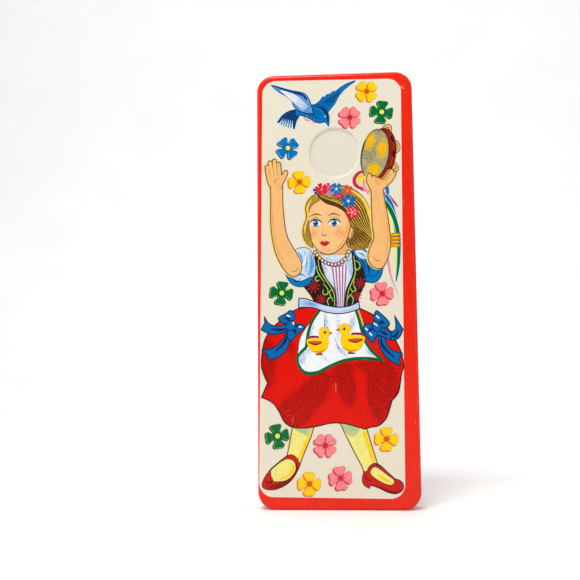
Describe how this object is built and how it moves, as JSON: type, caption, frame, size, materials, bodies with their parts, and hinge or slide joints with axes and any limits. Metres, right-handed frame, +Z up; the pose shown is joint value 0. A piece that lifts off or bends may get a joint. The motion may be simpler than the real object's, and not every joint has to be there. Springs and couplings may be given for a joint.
{
  "type": "toy tin whistle",
  "caption": "Flat tinplate box whistle with a printed face, a pressed round recess, a mouth slot in its upper end and a loose pea.",
  "frame": {"origin": "middle of the lower end of the box", "axes": "+Z up the box towards the mouth slot, +Y from the printed face to the back, +X to the right as seen from the printed face"},
  "size_m": [0.046, 0.009, 0.127],
  "materials": {
    "enamelled_tin": "gloss",
    "enamelled_tin_back": "gloss",
    "bare_tin": "satin",
    "cork": "matte"
  },
  "bodies": {
    "box": {"front_shell": "enamelled_tin", "back_shell": "enamelled_tin_back", "barrel_strip": "bare_tin", "windway_roof": "bare_tin"},
    "pea": {"pea": "cork"}
  },
  "joints": [
    {"name": "pea_run", "type": "hinge", "parent": "box", "child": "pea", "pos_m": [0, 0, 0.1027], "axis": [0, 1, 0], "continuous": true}
  ]
}
